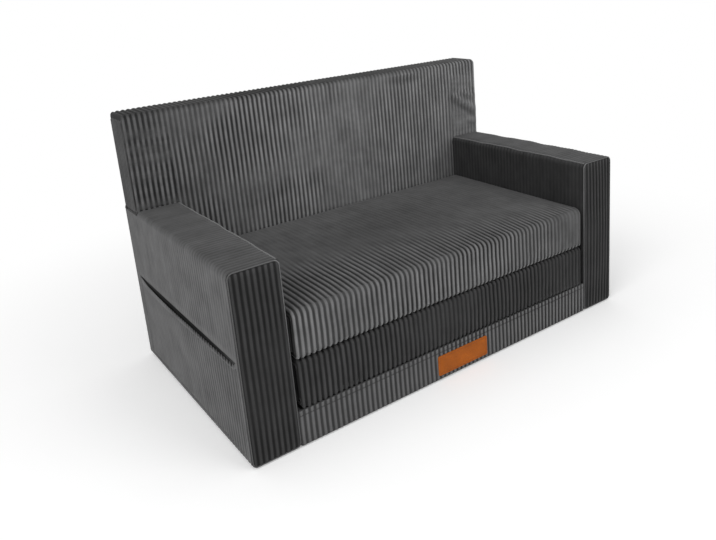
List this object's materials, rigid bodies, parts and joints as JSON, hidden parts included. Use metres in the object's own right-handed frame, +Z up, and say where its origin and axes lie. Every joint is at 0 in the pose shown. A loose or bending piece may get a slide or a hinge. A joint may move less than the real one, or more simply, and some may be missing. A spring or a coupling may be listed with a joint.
{
  "type": "children's sofa bed",
  "caption": "Child's foam sofa in ribbed velour with square arms, side pockets and a stacked seat that unfolds forwards over sewn cloth hinges into a floor bed.",
  "frame": {"origin": "on the floor, under the middle of the sofa's overall box", "axes": "+X across the sofa to its right seen from the front, +Y from its front to its back, +Z up"},
  "size_m": [0.9062, 0.526, 0.535],
  "materials": {
    "ribbed_cover": "matte ribbed velour, dark grey",
    "strip_cover": "matte ribbed velour, dark grey, lighter nap",
    "pocket_cloth": "matte black lining cloth",
    "elastic": "matte ribbed velour gathered on elastic",
    "foam": null,
    "patch": "satin orange imitation leather",
    "hinge_cloth": "matte woven hinge cloth",
    "floor_cloth": "matte black non-slip cloth",
    "zip_tape": "matte woven tape with a coil chain",
    "zip_metal": "satin black enamel"
  },
  "bodies": {
    "frame": {"back_cover": "ribbed_cover", "back_foam": "foam", "back_zip_tape": "zip_tape", "base_cover": "ribbed_cover", "base_foam": "foam", "base_front_strip": "strip_cover", "front_patch": "patch", "floor_sheet": "floor_cloth", "front_hinge_cloth": "hinge_cloth", "left_arm_cover": "ribbed_cover", "left_arm_front": "ribbed_cover", "left_arm_foam": "foam", "left_pocket_lining": "pocket_cloth", "left_pocket_panel": "ribbed_cover", "left_pocket_elastic": "elastic", "right_arm_cover": "ribbed_cover", "right_arm_front": "ribbed_cover", "right_arm_foam": "foam", "right_pocket_lining": "pocket_cloth", "right_pocket_panel": "ribbed_cover", "right_pocket_elastic": "elastic"},
    "lower_cushion": {"lower_cushion_cover": "ribbed_cover", "lower_cushion_foam": "foam", "lower_cushion_zip_tape": "zip_tape", "rear_hinge_cloth": "hinge_cloth"},
    "seat_cushion": {"seat_cushion_cover": "ribbed_cover", "seat_cushion_foam": "foam", "seat_cushion_zip_tape": "zip_tape"},
    "back_zip_slider": {"back_zip_slider": "zip_metal"},
    "lower_cushion_zip_slider": {"lower_cushion_zip_slider": "zip_metal"},
    "seat_cushion_zip_slider": {"seat_cushion_zip_slider": "zip_metal"}
  },
  "joints": [
    {"name": "front_fold", "type": "hinge", "parent": "frame", "child": "lower_cushion", "pos_m": [0, -0.264, 0.0795], "axis": [1, 0, 0], "range_deg": [0, 180]},
    {"name": "rear_fold", "type": "hinge", "parent": "lower_cushion", "child": "seat_cushion", "pos_m": [0, 0.173, 0.15885], "axis": [1, 0, 0], "range_deg": [-180, 0]},
    {"name": "back_zip_slide", "type": "slide", "parent": "frame", "child": "back_zip_slider", "axis": [1, 0, 0], "range_m": [0, 0.619]},
    {"name": "lower_cushion_zip_slide", "type": "slide", "parent": "lower_cushion", "child": "lower_cushion_zip_slider", "axis": [1, 0, 0], "range_m": [0, 0.579]},
    {"name": "seat_cushion_zip_slide", "type": "slide", "parent": "seat_cushion", "child": "seat_cushion_zip_slider", "axis": [1, 0, 0], "range_m": [0, 0.579]}
  ],
  "couplings": [
    {"joint": "rear_fold", "follows": "front_fold", "ratio": -1}
  ]
}
